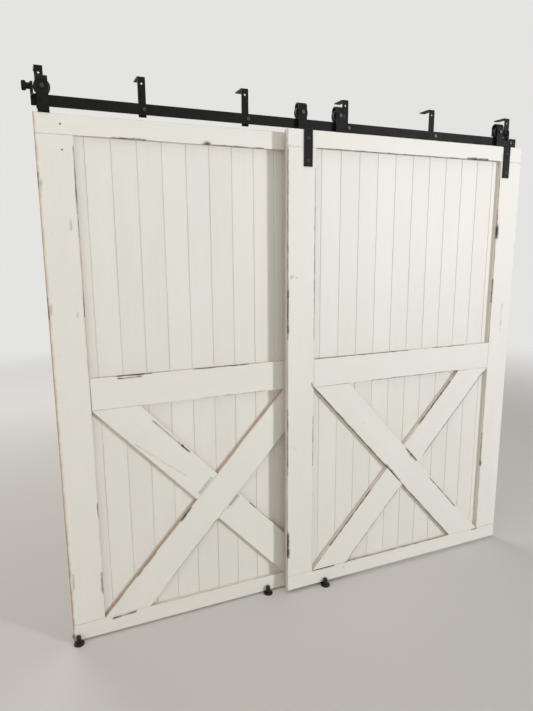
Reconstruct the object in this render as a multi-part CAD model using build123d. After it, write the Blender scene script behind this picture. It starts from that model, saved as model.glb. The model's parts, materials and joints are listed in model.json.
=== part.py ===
from build123d import *
import math
import os

os.makedirs("parts", exist_ok=True)

# Bypass pair of braced barn doors hung from one flat rail under a soffit.
# X runs along the doors, +Y goes towards the wall, +Z is up, millimetres.
# The origin is the middle of the fourth bracket's screw pair, on the soffit plane.

# Doors
door_width = 1320.0
door_height = 2134.0
frame_thickness = 19.0
board_thickness = 16.0
stile_width = 133.0
top_rail_width = 72.0
bottom_rail_width = 75.0
mid_rail_width = 134.0
mid_rail_top = 1142.0
brace_width = 145.0
board_pitch = 98.0
board_vee = 2.5
tongue_depth = 6.0
tongue_thickness = 5.0
tongue_clearance = 0.5
edge_ease = 1.2

# Places of the doors
front_door_left = -334.0
door_overlap = 335.0
front_door_top_gap = 16.0
rear_door_drop = 7.0
door_gap = 22.0
rear_face_ahead_of_rail = 13.0
floor_gap = 16.0

# Rail
rail_height = 40.0
rail_thickness = 6.0
rail_top_drop = 107.0
rail_past_right_stop = 57.2
rail_ease = 0.8

# Brackets
bracket_width = 30.0
bracket_thickness = 5.0
bracket_depth = 76.0
bracket_left_inset = 33.8
bracket_right_inset = 35.0
bracket_first_span = 370.0
bracket_bend_radius = 3.0
bracket_past_rail = 3.0
soffit_hole_radius = 3.5
soffit_hole_spacing = 36.0
spare_hole_radius = 4.5
spare_hole_drop = 26.0
spacer_length = 25.0
spacer_radius = 10.0
rail_bolt_radius = 4.0
rail_bolt_head_width = 14.0
rail_bolt_head_height = 4.5
rail_nut_height = 6.5
rail_bolt_past_nut = 1.5
bolt_clearance = 0.25

# Hangers
hanger_width = 40.0
hanger_thickness = 5.0
hanger_inner_span = 30.0
hanger_bend_radius = edge_ease
hanger_back_leg_below_axle = 16.0
hanger_top_drop = 42.0
front_left_hanger_inset = 94.0
front_right_hanger_inset = 102.0
rear_left_hanger_inset = 38.0
rear_right_hanger_inset = 56.0
strap_length = 150.0
strap_screw_drops = (36.0, 126.0)
strap_screw_radius = 4.0
strap_screw_head_radius = 8.0
strap_screw_head_height = 4.0
strap_screw_length = 30.0
foot_screw_radius = 2.5
foot_screw_head_radius = 5.0
foot_screw_head_height = 3.0
foot_screw_length = 45.0
foot_screw_spacing = 24.0
screw_clearance = 0.05
foot_screw_slot_width = 1.2
recess_width = 4.0
recess_depth = 1.8
spare_strap_hole_inset = 91.0
spare_strap_hole_radius = 4.0

# Wheels
wheel_run_radius = 24.0
wheel_flange_radius = 29.0
wheel_width = 20.0
wheel_groove_clearance = 1.2
wheel_groove_flare = 1.75
wheel_rim_chamfer = 1.0
wheel_web_thickness = 11.0
wheel_web_outer_radius = 20.5
wheel_hub_radius = 14.5
rail_running_gap = 0.3
bearing_radius = 11.0
bearing_width = 10.0
bearing_fit = 0.05
bearing_race_width = 2.0
bearing_seal_recess = 0.8
axle_radius = 5.0
axle_running_fit = 0.05
axle_head_width = 16.0
axle_head_height = 5.5
axle_nut_height = 5.0
sleeve_radius = 8.0
sleeve_end_gap = 0.3

# End stops
stop_length = 10.0
stop_width = 26.0
stop_over_rail = 10.0
stop_above_axle = 15.0
stop_corner_chamfer = 4.8
stop_saddle_clearance = 0.1
stop_wheel_gap = 0.8
bumper_head_radius = 17.0
bumper_head_length = 16.0
bumper_neck_radius = 11.0
bumper_neck_length = 12.0
bumper_edge_radius = 5.0
bumper_shank_radius = 4.0
stop_screw_radius = 2.5
stop_screw_head_radius = 4.5
stop_screw_head_height = 2.5

# Floor guides
guide_base_radius = 22.0
guide_base_rim = 4.5
guide_base_height = 8.0
guide_neck_radius = 13.0
guide_crown_radius = 8.6
guide_post_above_door = 24.0
guide_face_clearance = 0.8
guide_hole_radius = 2.6
guide_hole_spacing = 22.0
guide_left_inset = 18.0
guide_middle_inset = 901.0
guide_front_inset = 204.0

# Worked-out sizes of the doors
door_thickness = frame_thickness + board_thickness
panel_width = door_width - 2 * stile_width
panel_bottom = bottom_rail_width
mid_rail_bottom = mid_rail_top - mid_rail_width
panel_height = mid_rail_bottom - panel_bottom
full_board_count = int((door_width - 2 * tongue_depth) // board_pitch) - 1
edge_board_width = (door_width - full_board_count * board_pitch) / 2

# Worked-out places across the depth
leg_front_y = -bracket_depth / 2
leg_back_y = leg_front_y + bracket_thickness
rail_back_y = leg_front_y - spacer_length
rail_y = rail_back_y - rail_thickness / 2
rail_front_y = rail_y - rail_thickness / 2
hanger_inner_front_y = rail_y - hanger_inner_span / 2
hanger_inner_back_y = rail_y + hanger_inner_span / 2
hanger_mid_front_y = hanger_inner_front_y - hanger_thickness / 2
hanger_mid_back_y = hanger_inner_back_y + hanger_thickness / 2
hanger_outer_front_y = hanger_inner_front_y - hanger_thickness
hanger_outer_back_y = hanger_inner_back_y + hanger_thickness
rear_door_y = rail_y - rear_face_ahead_of_rail
front_door_y = rear_door_y - door_gap - door_thickness

# Worked-out heights
rail_top_z = -rail_top_drop
rail_bottom_z = rail_top_z - rail_height
rail_mid_z = rail_top_z - rail_height / 2
axle_z = rail_top_z + rail_running_gap + wheel_run_radius
hanger_arch_radius = (hanger_inner_span + hanger_thickness) / 2
hanger_arch_z = -hanger_top_drop - hanger_thickness / 2 - hanger_arch_radius
front_door_top_z = rail_bottom_z - front_door_top_gap
rear_door_top_z = front_door_top_z - rear_door_drop
front_door_bottom_z = front_door_top_z - door_height
rear_door_bottom_z = rear_door_top_z - door_height
floor_z = front_door_bottom_z - floor_gap

# Worked-out places along the rail
rear_door_left = front_door_left + door_overlap - door_width
front_hanger_places = (front_door_left + front_left_hanger_inset,
                       front_door_left + door_width - front_right_hanger_inset)
rear_hanger_places = (rear_door_left + rear_left_hanger_inset,
                      rear_door_left + door_width - rear_right_hanger_inset)
left_stop_inner_x = rear_hanger_places[0] - wheel_flange_radius - stop_wheel_gap
rail_left_x = left_stop_inner_x - stop_length
right_bumper_x = front_hanger_places[1] + wheel_flange_radius + stop_wheel_gap
right_stop_inner_x = right_bumper_x + bumper_head_length + bumper_neck_length
rail_right_x = right_stop_inner_x + stop_length + rail_past_right_stop

# The fourth bracket stands at the origin, and the last four are evenly spaced
first_bracket_x = rail_left_x + bracket_left_inset
bracket_pitch = (rail_right_x - bracket_right_inset) / 2
bracket_places = [first_bracket_x, first_bracket_x + bracket_first_span]
bracket_places += [bracket_pitch * step for step in (-1, 0, 1, 2)]


def write(node, shape):
    """Writes one node's solids to its own file."""
    shape.label = node
    export_step(shape, f"parts/{node}.step")


def gather(solids):
    """Returns separate solids as one group."""
    return Compound(children=list(solids))


def plate(left, right, front, back, bottom, top):
    """Returns a block between six planes."""
    size = (right - left, back - front, top - bottom)
    centre = ((left + right) / 2, (front + back) / 2, (bottom + top) / 2)
    return Pos(*centre) * Box(*size)


def rod_along_y(x, z, front, back, radius):
    """Returns a round rod along Y."""
    place = Plane(origin=(x, front, z), x_dir=(1, 0, 0), z_dir=(0, 1, 0))
    return extrude(place * Circle(radius), back - front)


def rod_along_x(y, z, left, right, radius):
    """Returns a round rod along X."""
    place = Plane(origin=(left, y, z), x_dir=(0, 1, 0), z_dir=(1, 0, 0))
    return extrude(place * Circle(radius), right - left)


def rod_along_z(x, y, bottom, top, radius):
    """Returns a round rod along Z."""
    return extrude(Plane(origin=(x, y, bottom)) * Circle(radius), top - bottom)


def hexagon_along_y(x, z, front, back, width):
    """Returns a hexagonal prism along Y, given the width across its flats."""
    place = Plane(origin=(x, front, z), x_dir=(1, 0, 0), z_dir=(0, 1, 0))
    outline = RegularPolygon(width / 2, 6, major_radius=False)
    return extrude(place * outline, back - front)


def turned_about_y(x, z, profile):
    """Returns a solid turned about the Y line through X, Z; profile points are (radius, y)."""
    outline = Plane.XY * make_face(Polyline(*profile, close=True))
    turned = revolve(outline, Axis.Y)
    return Pos(x, 0, z) * turned


def ease_front(solid):
    """Returns a board with the edges of its front face eased."""
    face = solid.faces().filter_by(Axis.Y).sort_by(Axis.Y)[0]
    return solid.chamfer(edge_ease, None, face.edges())


def frame_board(points, left, front, bottom):
    """Returns a frame board from its outline; points are measured from the door's lower left corner."""
    corners = [(left + x, bottom + z) for x, z in points]
    place = Plane(origin=(0, front, 0), x_dir=(1, 0, 0), z_dir=(0, -1, 0))
    outline = place * make_face(Polyline(*corners, close=True))
    return ease_front(extrude(outline, -frame_thickness).solid())


def rectangle(left, right, bottom, top):
    """Returns the corners of a rectangle."""
    return [(left, bottom), (right, bottom), (right, top), (left, top)]


def brace_outline(falling):
    """Returns the corners of a brace that fills the lower panel from corner to corner."""
    diagonal = math.hypot(panel_width, panel_height)
    lean = math.atan2(panel_height, panel_width) + math.asin(brace_width / diagonal)
    foot = brace_width / math.sin(lean)
    rising = [(0, 0), (foot, 0), (panel_width, panel_height), (panel_width - foot, panel_height)]
    if falling:
        rising = [(panel_width - x, z) for x, z in reversed(rising)]
    return [(stile_width + x, panel_bottom + z) for x, z in rising]


def braces(left, front, bottom, falling):
    """Returns the long brace and the upper and lower short braces that butt against it."""
    long_brace = frame_board(brace_outline(falling), left, front, bottom)
    corners = [(left + x, bottom + z) for x, z in brace_outline(falling)]
    place = Plane(origin=(0, front, 0), x_dir=(1, 0, 0), z_dir=(0, -1, 0))
    keep_out = extrude(place * make_face(Polyline(*corners, close=True)), -frame_thickness)
    crossing = [(left + x, bottom + z) for x, z in brace_outline(not falling)]
    other = extrude(place * make_face(Polyline(*crossing, close=True)), -frame_thickness)
    halves = (other - keep_out).solids().sort_by(Axis.Z)
    return long_brace, ease_front(halves[-1]), ease_front(halves[0])


def board_outline(width, has_tongue, has_slot):
    """Returns the section of a tongued board, front face at Y = 0, left edge at X = 0."""
    middle = board_thickness / 2 + board_vee / 2
    half = tongue_thickness / 2
    reach = tongue_depth - tongue_clearance
    points = [(board_vee if has_slot else 0.0, 0.0)]
    points.append((width - board_vee if has_tongue else width, 0.0))
    if has_tongue:
        points += [(width, board_vee), (width, middle - half + tongue_clearance / 2)]
        points += [(width + reach, middle - half + tongue_clearance / 2)]
        points += [(width + reach, middle + half - tongue_clearance / 2)]
        points += [(width, middle + half - tongue_clearance / 2)]
    points += [(width, board_thickness), (0.0, board_thickness)]
    if has_slot:
        points += [(0.0, middle + half), (tongue_depth, middle + half)]
        points += [(tongue_depth, middle - half), (0.0, middle - half), (0.0, board_vee)]
    return points


def boards(left, front, bottom):
    """Returns the upright tongued boards behind a door's frame, from left to right."""
    widths = [edge_board_width] + [board_pitch] * full_board_count + [edge_board_width]
    made = []
    start = left
    for index, width in enumerate(widths):
        outline = board_outline(width, index < len(widths) - 1, index > 0)
        section = make_face(Polyline(*outline, close=True))
        board = extrude(Plane(origin=(start, front + frame_thickness, bottom)) * section, door_height)
        made.append(board)
        start += width
    return made


def door_pieces(left, front, bottom, falling):
    """Returns a door's wooden pieces by name."""
    right_inner = door_width - stile_width
    side_top = door_height - top_rail_width
    outlines = {
        "top_rail": rectangle(0, door_width, side_top, door_height),
        "bottom_rail": rectangle(0, door_width, 0, bottom_rail_width),
        "left_stile": rectangle(0, stile_width, bottom_rail_width, side_top),
        "right_stile": rectangle(right_inner, door_width, bottom_rail_width, side_top),
        "mid_rail": rectangle(stile_width, right_inner, mid_rail_bottom, mid_rail_top),
    }
    pieces = {name: frame_board(points, left, front, bottom) for name, points in outlines.items()}
    long_brace, upper, lower = braces(left, front, bottom, falling)
    pieces["long_brace"] = long_brace
    pieces["upper_brace"] = upper
    pieces["lower_brace"] = lower
    pieces["boards"] = boards(left, front, bottom)
    return pieces


def drill(pieces, names, holes):
    """Cuts the holes into the named pieces that they cross."""
    for name in names:
        piece = pieces[name]
        if isinstance(piece, list):
            pieces[name] = [cut_where_met(board, holes) for board in piece]
        else:
            pieces[name] = cut_where_met(piece, holes)


def cut_where_met(piece, holes):
    """Returns the piece less the holes whose boxes meet its own."""
    box = piece.bounding_box()
    for hole in holes:
        span = hole.bounding_box()
        meets_x = span.max.X > box.min.X and span.min.X < box.max.X
        meets_y = span.max.Y > box.min.Y and span.min.Y < box.max.Y
        meets_z = span.max.Z > box.min.Z and span.min.Z < box.max.Z
        if meets_x and meets_y and meets_z:
            piece = piece - hole
    return piece


def swept_bar(path, width):
    """Returns flat bar bent along a path in the YZ plane, centred on X = 0."""
    start = Plane(origin=path @ 0, x_dir=(1, 0, 0), z_dir=path % 0)
    return sweep(start * Rectangle(width, hanger_thickness), path)


def hanger_path(lower_points):
    """Returns the centre line of a hanger, from its lower end over the wheel to its back leg."""
    points = [(0, y, z) for y, z in lower_points] + [(0, hanger_mid_front_y, hanger_arch_z)]
    front = FilletPolyline(*points, radius=hanger_bend_radius + hanger_thickness / 2)
    top = (0, rail_y, hanger_arch_z + hanger_arch_radius)
    back = (0, hanger_mid_back_y, hanger_arch_z)
    arch = ThreePointArc(points[-1], top, back)
    leg = Line(back, (0, hanger_mid_back_y, axle_z - hanger_back_leg_below_axle))
    return Wire(front.edges() + arch.edges() + leg.edges())


def axle_hole():
    """Returns the hole for the axle bolt through both legs of a hanger."""
    reach = hanger_thickness
    return rod_along_y(0, axle_z, hanger_outer_front_y - reach, hanger_outer_back_y + reach,
                       axle_radius + bolt_clearance)


def front_hanger():
    """Returns a hanger that runs down the door's face, over its top edge and up round the wheel."""
    face_y = front_door_y - hanger_thickness / 2
    over_z = front_door_top_z + hanger_thickness / 2
    path = hanger_path([(face_y, front_door_top_z - strap_length), (face_y, over_z),
                        (hanger_mid_front_y, over_z)])
    bar = swept_bar(path, hanger_width) - axle_hole()
    for drop in strap_screw_drops:
        z = front_door_top_z - drop
        bar -= rod_along_y(0, z, front_door_y - 2 * hanger_thickness, front_door_y + hanger_thickness,
                           strap_screw_radius + bolt_clearance)
    return bar


def rear_hanger():
    """Returns a hanger whose foot lies on the door's top edge."""
    foot_z = rear_door_top_z + hanger_thickness / 2
    path = hanger_path([(rear_door_y + door_thickness, foot_z), (hanger_mid_front_y, foot_z)])
    bar = swept_bar(path, hanger_width) - axle_hole()
    for side in (-1, 1):
        bar -= rod_along_z(side * foot_screw_spacing / 2, rear_door_y + frame_thickness / 2,
                           rear_door_top_z - hanger_thickness, rear_door_top_z + 2 * hanger_thickness,
                           foot_screw_radius + bolt_clearance)
    return bar


def wheel():
    """Returns the grooved wheel, at its axle height on X = 0."""
    half = wheel_width / 2
    web = wheel_web_thickness / 2
    groove = rail_thickness / 2 + wheel_groove_clearance
    rim = wheel_rim_chamfer
    profile = [(bearing_radius, -half), (wheel_hub_radius, -half), (wheel_hub_radius, -web)]
    profile += [(wheel_web_outer_radius, -web), (wheel_web_outer_radius, -half)]
    profile += [(wheel_flange_radius - rim, -half), (wheel_flange_radius, -half + rim)]
    profile += [(wheel_flange_radius, -groove - wheel_groove_flare), (wheel_run_radius, -groove)]
    profile += [(radius, -y) for radius, y in reversed(profile)]
    profile = [(radius, rail_y + y) for radius, y in profile]
    return turned_about_y(0, axle_z, profile)


def bearing():
    """Returns the sealed bearing in the wheel's bore."""
    outer = bearing_radius - bearing_fit
    half = bearing_width / 2
    seal = half - bearing_seal_recess
    inner_race = axle_radius + bearing_race_width
    outer_race = outer - bearing_race_width
    profile = [(axle_radius, -half), (inner_race, -half), (inner_race, -seal)]
    profile += [(outer_race, -seal), (outer_race, -half), (outer, -half)]
    profile += [(radius, -y) for radius, y in reversed(profile)]
    profile = [(radius, rail_y + y) for radius, y in profile]
    return turned_about_y(0, axle_z, profile)


def axle_bolt():
    """Returns the axle bolt with its head in front of the hanger."""
    radius = axle_radius - axle_running_fit
    head = hexagon_along_y(0, axle_z, hanger_outer_front_y - axle_head_height, hanger_outer_front_y,
                           axle_head_width)
    shank = rod_along_y(0, axle_z, hanger_outer_front_y, hanger_outer_back_y + axle_nut_height, radius)
    return head + shank


def axle_nut():
    """Returns the thin nut behind the hanger."""
    back = hanger_outer_back_y + axle_nut_height
    nut = hexagon_along_y(0, axle_z, hanger_outer_back_y, back, axle_head_width)
    return nut - rod_along_y(0, axle_z, hanger_outer_back_y, back, axle_radius)


def axle_sleeves():
    """Returns the two sleeves that keep the wheel in the middle of the hanger."""
    bearing_front = rail_y - bearing_width / 2
    bearing_back = rail_y + bearing_width / 2
    spans = ((hanger_inner_front_y, bearing_front - sleeve_end_gap),
             (bearing_back + sleeve_end_gap, hanger_inner_back_y))
    made = []
    for front, back in spans:
        outer = rod_along_y(0, axle_z, front, back, sleeve_radius)
        made.append(outer - rod_along_y(0, axle_z, front, back, axle_radius))
    return made


def strap_screw(z):
    """Returns a domed screw through the strap into the door."""
    seat = front_door_y - hanger_thickness
    crown = seat - strap_screw_head_height
    tip = front_door_y + strap_screw_length
    bulge = (strap_screw_head_radius ** 2 / strap_screw_head_height + strap_screw_head_height) / 2
    dome = CenterArc((0, crown + bulge), bulge, -90, math.degrees(math.asin(strap_screw_head_radius / bulge)))
    shank = Polyline((strap_screw_head_radius, seat), (strap_screw_radius, seat),
                     (strap_screw_radius, tip - strap_screw_radius), (0, tip), (0, crown))
    screw = Pos(0, 0, z) * revolve(make_face(dome.edges() + shank.edges()), Axis.Y)
    return screw - hexagon_along_y(0, z, crown, crown + recess_depth, recess_width)


def strap_screw_hole(x, z):
    """Returns the pilot hole of a strap screw in the wood."""
    profile = [(0, front_door_y), (strap_screw_radius + screw_clearance, front_door_y)]
    tip = front_door_y + strap_screw_length + screw_clearance
    profile += [(strap_screw_radius + screw_clearance, tip - strap_screw_radius), (0, tip)]
    return turned_about_y(x, z, profile)


def foot_screw(x):
    """Returns a screw through a rear hanger's foot into the door's top edge."""
    y = rear_door_y + frame_thickness / 2
    seat = rear_door_top_z + hanger_thickness
    head = rod_along_z(x, y, seat, seat + foot_screw_head_height, foot_screw_head_radius)
    shank = rod_along_z(x, y, rear_door_top_z - foot_screw_length, seat, foot_screw_radius)
    slot = Pos(x, y, seat + foot_screw_head_height) * Box(2 * foot_screw_head_radius, foot_screw_slot_width,
                                                          recess_depth)
    return head + shank - slot


def foot_screw_hole(x):
    """Returns the pilot hole of a foot screw in the wood."""
    y = rear_door_y + frame_thickness / 2
    bottom = rear_door_top_z - foot_screw_length - screw_clearance
    return rod_along_z(x, y, bottom, rear_door_top_z, foot_screw_radius + screw_clearance)


def spare_strap_hole(drop):
    """Returns an unused strap hole through the rear door, near its upper left corner."""
    return rod_along_y(rear_door_left + spare_strap_hole_inset, rear_door_top_z - drop, rear_door_y,
                       rear_door_y + door_thickness, spare_strap_hole_radius)


def rail():
    """Returns the flat rail with its bracket holes."""
    bar = plate(rail_left_x, rail_right_x, rail_front_y, rail_back_y, rail_bottom_z, rail_top_z)
    bar = chamfer(bar.edges().filter_by(Axis.X), rail_ease)
    for x in bracket_places:
        bar -= rod_along_y(x, rail_mid_z, rail_front_y, rail_back_y, rail_bolt_radius + bolt_clearance)
    return bar


def bracket():
    """Returns the angle bracket that drops from the soffit to the rail, on X = 0."""
    leg_mid = leg_front_y + bracket_thickness / 2
    flange_mid = -bracket_thickness / 2
    bottom = rail_bottom_z - bracket_past_rail
    path = FilletPolyline((0, leg_mid, bottom), (0, leg_mid, flange_mid),
                          (0, leg_front_y + bracket_depth, flange_mid),
                          radius=bracket_bend_radius + bracket_thickness / 2)
    start = Plane(origin=path @ 0, x_dir=(1, 0, 0), z_dir=path % 0)
    bar = sweep(start * Rectangle(bracket_width, bracket_thickness), path)
    for side in (-1, 1):
        bar -= rod_along_z(0, side * soffit_hole_spacing / 2, -bracket_thickness, 0, soffit_hole_radius)
    bar -= rod_along_y(0, -spare_hole_drop, leg_front_y, leg_back_y, spare_hole_radius)
    bar -= rod_along_y(0, rail_mid_z, leg_front_y, leg_back_y, rail_bolt_radius + bolt_clearance)
    return bar


def rail_spacer(x):
    """Returns the tube between the rail and a bracket."""
    tube = rod_along_y(x, rail_mid_z, rail_back_y, leg_front_y, spacer_radius)
    return tube - rod_along_y(x, rail_mid_z, rail_back_y, leg_front_y, rail_bolt_radius + bolt_clearance)


def rail_bolt(x):
    """Returns the bolt that holds the rail and spacer to a bracket."""
    end = leg_back_y + rail_nut_height + rail_bolt_past_nut
    head = hexagon_along_y(x, rail_mid_z, rail_front_y - rail_bolt_head_height, rail_front_y,
                           rail_bolt_head_width)
    return head + rod_along_y(x, rail_mid_z, rail_front_y, end, rail_bolt_radius)


def rail_nut(x):
    """Returns the nut behind a bracket."""
    back = leg_back_y + rail_nut_height
    nut = hexagon_along_y(x, rail_mid_z, leg_back_y, back, rail_bolt_head_width)
    return nut - rod_along_y(x, rail_mid_z, leg_back_y, back, rail_bolt_radius + screw_clearance)


def stop_block(inner_x, direction):
    """Returns the saddle block that grips the rail; direction points from the wheel to the rail's end."""
    left, right = sorted((inner_x, inner_x + direction * stop_length))
    front = rail_y - stop_width / 2
    back = rail_y + stop_width / 2
    block = plate(left, right, front, back, rail_top_z - stop_over_rail, axle_z + stop_above_axle)
    block = chamfer(block.edges().filter_by(Axis.X).sort_by(Axis.Z)[-2:], stop_corner_chamfer)
    slot = rail_thickness / 2 + stop_saddle_clearance
    block -= plate(left, right, rail_y - slot, rail_y + slot, rail_top_z - stop_over_rail,
                   rail_top_z + stop_saddle_clearance)
    block -= rod_along_x(rail_y, axle_z, left, right, bumper_shank_radius + screw_clearance)
    middle = (left + right) / 2
    block -= rod_along_y(middle, rail_top_z - stop_over_rail / 2, front, rail_y - slot,
                         stop_screw_radius + screw_clearance)
    return block


def stop_screw(inner_x, direction):
    """Returns the screw that pinches a stop block on the rail."""
    middle = inner_x + direction * stop_length / 2
    front = rail_y - stop_width / 2
    z = rail_top_z - stop_over_rail / 2
    head = rod_along_y(middle, z, front - stop_screw_head_height, front, stop_screw_head_radius)
    socket = hexagon_along_y(middle, z, front - stop_screw_head_height,
                             front - stop_screw_head_height + recess_depth, recess_width)
    return head + rod_along_y(middle, z, front, rail_front_y, stop_screw_radius) - socket


def bumper(seat_x, direction, block_x):
    """Returns the rubber bumper that stands on a stop block, with its shank through the block."""
    neck = bumper_neck_length
    end = neck + bumper_head_length
    shank = abs(block_x - seat_x)
    points = [(-shank, 0), (-shank, bumper_shank_radius), (0, bumper_shank_radius)]
    points += [(0, bumper_neck_radius), (neck, bumper_neck_radius)]
    points += [(neck, bumper_head_radius), (end, bumper_head_radius), (end, 0)]
    outline = make_face(Polyline(*points, close=True))
    outline = fillet(outline.vertices().group_by(Axis.Y)[-1], bumper_edge_radius)
    solid = revolve(outline, Axis.X)
    if direction < 0:
        solid = solid.rotate(Axis.Z, 180)
    return Pos(seat_x, rail_y, axle_z) * solid


def floor_guide(x, door_y):
    """Returns a one-piece floor guide whose two domed posts stand before and behind a door."""
    post_radius = door_gap / 2 - guide_face_clearance
    front_y = door_y - guide_face_clearance - post_radius
    back_y = door_y + door_thickness + guide_face_clearance + post_radius
    height = front_door_bottom_z + guide_post_above_door - floor_z
    outline = make_face(
        Polyline((0, 0), (guide_base_radius, 0), (guide_base_radius, guide_base_rim),
                 (guide_neck_radius, guide_base_height), (post_radius, guide_base_height),
                 (post_radius, height), (0, height), close=True)
    )
    crown = outline.vertices().group_by(Axis.Y)[-1].sort_by(Axis.X)[-1]
    outline = fillet(crown, guide_crown_radius)
    post = revolve(Plane.XZ * outline, Axis.Z)
    guide = Pos(x, front_y, floor_z) * post + Pos(x, back_y, floor_z) * post
    guide += plate(x - guide_neck_radius, x + guide_neck_radius, front_y, back_y, floor_z,
                   floor_z + guide_base_rim)
    middle = (front_y + back_y) / 2
    for side in (-1, 1):
        guide -= rod_along_z(x, middle + side * guide_hole_spacing / 2, floor_z,
                             floor_z + guide_base_rim, guide_hole_radius)
    return guide


def write_rail_set():
    """Writes the rail, brackets, stops and floor guides."""
    write("rail", rail())
    shape = bracket()
    for number, x in enumerate(bracket_places, start=1):
        write(f"bracket_{number}", Pos(x, 0, 0) * shape)
    write("rail_spacers", gather(rail_spacer(x) for x in bracket_places))
    write("rail_bolts", gather(rail_bolt(x) for x in bracket_places))
    write("rail_nuts", gather(rail_nut(x) for x in bracket_places))
    write("left_stop", stop_block(left_stop_inner_x, -1))
    write("right_stop", stop_block(right_stop_inner_x, 1))
    write("left_stop_bumper", bumper(rail_left_x, -1, left_stop_inner_x))
    write("right_stop_bumper", bumper(right_stop_inner_x, -1, right_stop_inner_x + stop_length))
    write("stop_screws", gather([stop_screw(left_stop_inner_x, -1), stop_screw(right_stop_inner_x, 1)]))
    write("floor_guide_left", floor_guide(rear_door_left + guide_left_inset, rear_door_y))
    write("floor_guide_middle", floor_guide(rear_door_left + guide_middle_inset, rear_door_y))
    write("floor_guide_front", floor_guide(front_door_left + guide_front_inset, front_door_y))


def write_door(name, pieces):
    """Writes a door's wooden pieces."""
    for piece_name, piece in pieces.items():
        shape = gather(piece) if isinstance(piece, list) else piece
        write(f"{name}_{piece_name}", shape)


def write_running_gear(name, places, hanger):
    """Writes a door's hangers, wheels, bearings and axle fittings."""
    shapes = {"wheel": wheel(), "bearing": bearing(), "hanger": hanger}
    for side, x in zip(("left", "right"), places):
        for piece_name, shape in shapes.items():
            write(f"{name}_{side}_{piece_name}", Pos(x, 0, 0) * shape)
    write(f"{name}_axle_bolts", gather(Pos(x, 0, 0) * axle_bolt() for x in places))
    write(f"{name}_axle_nuts", gather(Pos(x, 0, 0) * axle_nut() for x in places))
    sleeves = axle_sleeves()
    write(f"{name}_axle_sleeves", gather(Pos(x, 0, 0) * sleeve for x in places for sleeve in sleeves))


def write_front_door():
    """Writes the front door and what hangs it."""
    pieces = door_pieces(front_door_left, front_door_y, front_door_bottom_z, falling=True)
    screw_places = [(x, front_door_top_z - drop) for x in front_hanger_places for drop in strap_screw_drops]
    holes = [strap_screw_hole(x, z) for x, z in screw_places]
    drill(pieces, ("top_rail", "left_stile", "right_stile", "boards"), holes)
    write_door("front", pieces)
    write_running_gear("front", front_hanger_places, front_hanger())
    write("front_strap_screws", gather(Pos(x, 0, 0) * strap_screw(z) for x, z in screw_places))


def write_rear_door():
    """Writes the rear door and what hangs it."""
    pieces = door_pieces(rear_door_left, rear_door_y, rear_door_bottom_z, falling=False)
    half = foot_screw_spacing / 2
    places = [x + side * half for x in rear_hanger_places for side in (-1, 1)]
    drill(pieces, ("top_rail",), [foot_screw_hole(x) for x in places])
    drill(pieces, ("top_rail", "left_stile", "boards"), [spare_strap_hole(drop) for drop in strap_screw_drops])
    write_door("rear", pieces)
    write_running_gear("rear", rear_hanger_places, rear_hanger())
    write("rear_foot_screws", gather(foot_screw(x) for x in places))


write_rail_set()
write_front_door()
write_rear_door()

travel = front_hanger_places[1] - rear_hanger_places[1] - 2 * wheel_flange_radius
print("free travel of each door", travel)
print("axle height", axle_z, "rail y", rail_y, "floor", floor_z)
print("hangers", front_hanger_places, rear_hanger_places)
print("brackets", bracket_places)
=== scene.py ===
import json
import logging
from dataclasses import dataclass
from enum import Enum
from functools import partial
from math import asin, atan2, cos, floor, hypot, radians, sin
from typing import ClassVar, Mapping, Sequence

import bpy
import numpy as np
from bpy.types import ID, Material, Mesh, Node, NodeSocket, NodeTree, Object
from mathutils import Matrix, Vector


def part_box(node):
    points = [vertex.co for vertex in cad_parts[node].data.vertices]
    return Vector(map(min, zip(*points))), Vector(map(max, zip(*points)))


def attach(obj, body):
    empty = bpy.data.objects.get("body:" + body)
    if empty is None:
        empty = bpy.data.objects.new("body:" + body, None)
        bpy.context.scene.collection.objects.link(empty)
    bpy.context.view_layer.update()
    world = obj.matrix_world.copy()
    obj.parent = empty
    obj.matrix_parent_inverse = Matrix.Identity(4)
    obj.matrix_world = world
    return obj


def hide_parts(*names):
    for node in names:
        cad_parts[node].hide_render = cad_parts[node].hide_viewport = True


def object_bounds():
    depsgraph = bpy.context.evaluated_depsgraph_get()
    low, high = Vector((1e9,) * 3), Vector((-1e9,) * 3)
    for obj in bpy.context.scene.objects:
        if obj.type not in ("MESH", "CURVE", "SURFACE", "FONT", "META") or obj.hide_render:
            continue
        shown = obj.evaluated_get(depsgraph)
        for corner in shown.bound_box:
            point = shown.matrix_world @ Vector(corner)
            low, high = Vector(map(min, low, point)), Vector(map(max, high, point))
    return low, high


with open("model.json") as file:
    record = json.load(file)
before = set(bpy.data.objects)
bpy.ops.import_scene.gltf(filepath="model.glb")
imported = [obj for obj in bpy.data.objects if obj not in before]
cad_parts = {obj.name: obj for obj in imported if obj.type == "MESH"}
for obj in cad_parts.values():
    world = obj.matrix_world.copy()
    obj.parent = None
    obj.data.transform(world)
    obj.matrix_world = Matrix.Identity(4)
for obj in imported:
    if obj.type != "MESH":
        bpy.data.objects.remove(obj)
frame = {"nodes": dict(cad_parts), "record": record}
CAD_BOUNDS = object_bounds()

MM = 0.001
log = logging.getLogger("barn_doors")

Value = float | Sequence[float] | NodeSocket
Colour = tuple[float, float, float, float]

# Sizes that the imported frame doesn't give, in metres
BRACE_WIDTH = 145 * MM
BOARD_PITCH = 98 * MM
SPARE_HOLE_RADIUS = 4 * MM

# What a frame board's surface tells its paint: where it is rubbed, its arrises and its bare wood. Some
# rubbed lines along lower edges are partly painted shade, and the brown sides of the falling braces are
# partly painted shade
MARKS = ("rub", "arris", "side")

# A board's seed times one of these starts the draws for its rubs' widths, their depths and its arrises
WIDTH_DRAWS, DEPTH_DRAWS, ARRIS_DRAWS = 31, 17, 7

# Where most of a noise's values lie, and the narrower span that a steeper ramp goes over
NOISE_SPAN, STEEP_SPAN = (0.3, 0.7), (0.35, 0.65)


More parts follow.
